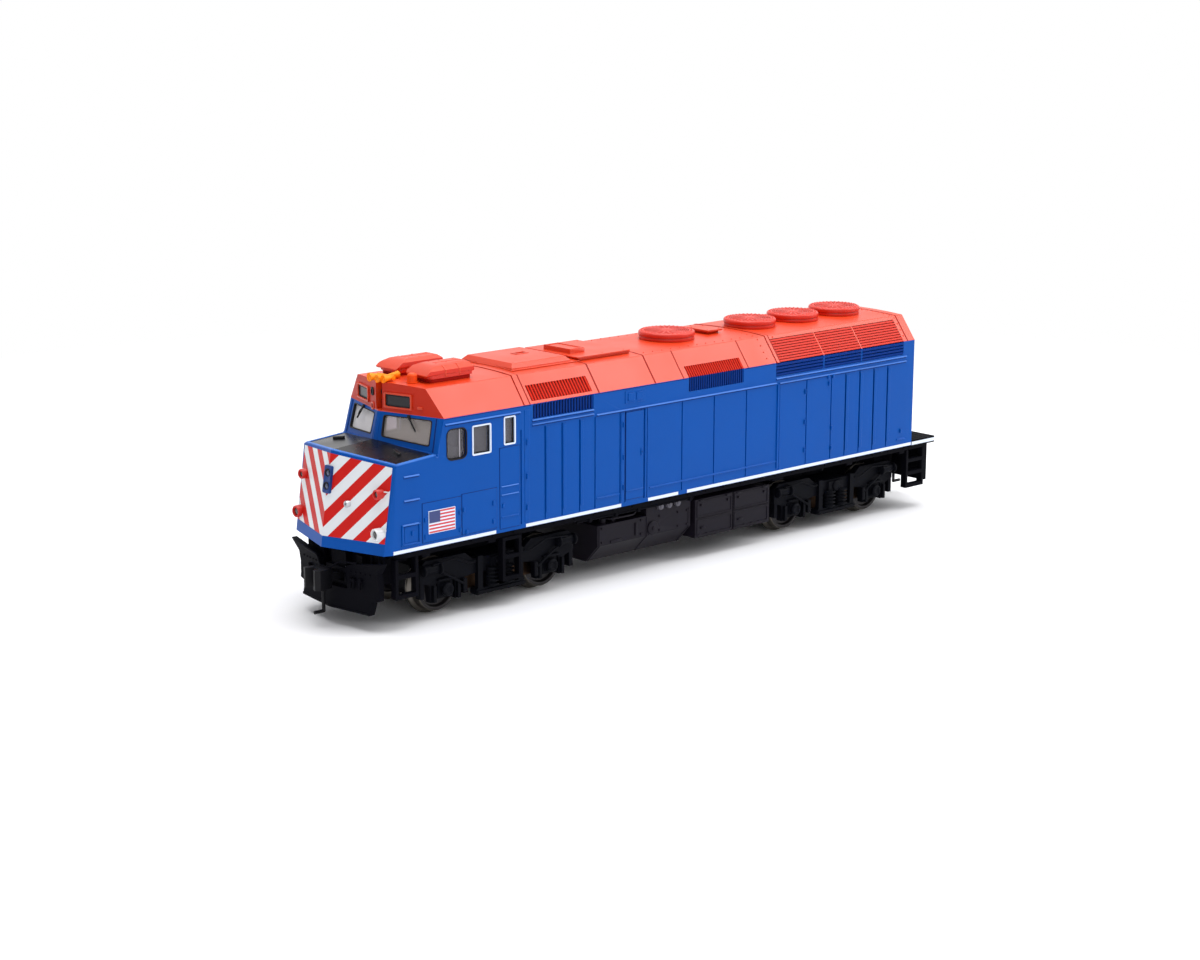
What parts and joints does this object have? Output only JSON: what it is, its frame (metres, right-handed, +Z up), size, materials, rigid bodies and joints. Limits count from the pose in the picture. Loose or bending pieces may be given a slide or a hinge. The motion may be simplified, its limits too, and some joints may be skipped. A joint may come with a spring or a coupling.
{
  "type": "model diesel locomotive",
  "caption": "Small-scale model of a cowl-bodied passenger diesel locomotive with one cab, swivelling trucks, turning wheelsets and swinging couplers.",
  "frame": {"origin": "on the centre line, midway between the two truck pivots, on the plane the wheel flanges stand on", "axes": "+X forward towards the nose, +Y left, +Z up"},
  "size_m": [0.11, 0.0186, 0.0311],
  "materials": {
    "body_paint": "moulded shell in glossy blue with an orange-red upper band",
    "roof_red": "glossy orange-red moulding",
    "fan_red": "glossy orange-red moulding with metal-coloured guard",
    "horn_orange": "glossy orange moulding",
    "clear_glazing": "smoked clear plastic",
    "board_black": "blank dark panel",
    "lamp_housing": "glossy housing with clear lenses",
    "marker_lamps": "glossy red and silver housings",
    "wiper_black": "matt black",
    "underframe_black": "matt near-black moulding",
    "tank_grey": "matt dark grey moulding",
    "platform_white": "dark deck with a white edge",
    "cast_weight": "die-cast zinc, plain",
    "truck_black": "matt near-black moulding",
    "contact_bronze": "phosphor bronze strip",
    "wheel_metal": "blackened faces, bright treads",
    "coupler_black": "matt black acetal"
  },
  "bodies": {
    "locomotive": {"body_shell": "body_paint", "windscreen": "clear_glazing", "cab_glass_left": "clear_glazing", "cab_glass_right": "clear_glazing", "number_board_left": "board_black", "number_board_right": "board_black", "windscreen_wipers": "wiper_black", "nose_headlight": "lamp_housing", "nose_lamps": "marker_lamps", "horns": "horn_orange", "beacon": "horn_orange", "air_conditioner_left": "roof_red", "air_conditioner_right": "roof_red", "front_hatch": "roof_red", "engine_hatch": "roof_red", "roof_plate": "roof_red", "brake_fan": "fan_red", "radiator_fan_front": "fan_red", "radiator_fan_middle": "fan_red", "radiator_fan_rear": "fan_red", "underframe": "underframe_black", "chassis_weight": "cast_weight", "rear_platform": "platform_white", "fuel_tank": "tank_grey", "equipment_box": "tank_grey", "cab_steps_left": "underframe_black", "cab_steps_right": "underframe_black", "front_steps_left": "underframe_black", "front_steps_right": "underframe_black", "rear_steps_left": "underframe_black", "rear_steps_right": "underframe_black", "pilot": "underframe_black", "rear_pilot": "underframe_black", "rear_lamps": "body_paint", "front_coupler_box": "underframe_black", "rear_coupler_box": "underframe_black"},
    "front_truck": {"front_truck_frame": "truck_black", "front_truck_contacts": "contact_bronze"},
    "front_truck_lead_wheels": {"front_truck_lead_wheels": "wheel_metal"},
    "front_truck_trail_wheels": {"front_truck_trail_wheels": "wheel_metal"},
    "rear_truck": {"rear_truck_frame": "truck_black", "rear_truck_contacts": "contact_bronze"},
    "rear_truck_lead_wheels": {"rear_truck_lead_wheels": "wheel_metal"},
    "rear_truck_trail_wheels": {"rear_truck_trail_wheels": "wheel_metal"},
    "front_coupler": {"front_coupler": "coupler_black"},
    "rear_coupler": {"rear_coupler": "coupler_black"}
  },
  "joints": [
    {"name": "front_truck_swivel", "type": "hinge", "parent": "locomotive", "child": "front_truck", "pos_m": [0.03143, 0, 0.0075], "axis": [0, 0, 1], "range_deg": [-8, 8]},
    {"name": "front_truck_lead_axle_turn", "type": "hinge", "parent": "front_truck", "child": "front_truck_lead_wheels", "pos_m": [0.04, 0, 0.00367], "axis": [0, 1, 0], "continuous": true},
    {"name": "front_truck_trail_axle_turn", "type": "hinge", "parent": "front_truck", "child": "front_truck_trail_wheels", "pos_m": [0.02286, 0, 0.00367], "axis": [0, 1, 0], "continuous": true},
    {"name": "rear_truck_swivel", "type": "hinge", "parent": "locomotive", "child": "rear_truck", "pos_m": [-0.03143, 0, 0.0075], "axis": [0, 0, 1], "range_deg": [-8, 8]},
    {"name": "rear_truck_lead_axle_turn", "type": "hinge", "parent": "rear_truck", "child": "rear_truck_lead_wheels", "pos_m": [-0.02286, 0, 0.00367], "axis": [0, 1, 0], "continuous": true},
    {"name": "rear_truck_trail_axle_turn", "type": "hinge", "parent": "rear_truck", "child": "rear_truck_trail_wheels", "pos_m": [-0.04, 0, 0.00367], "axis": [0, 1, 0], "continuous": true},
    {"name": "front_coupler_swing", "type": "hinge", "parent": "locomotive", "child": "front_coupler", "pos_m": [0.04813, 0, 0.00605], "axis": [0, 0, 1], "range_deg": [-12, 12]},
    {"name": "rear_coupler_swing", "type": "hinge", "parent": "locomotive", "child": "rear_coupler", "pos_m": [-0.04813, 0, 0.00605], "axis": [0, 0, 1], "range_deg": [-12, 12]}
  ]
}
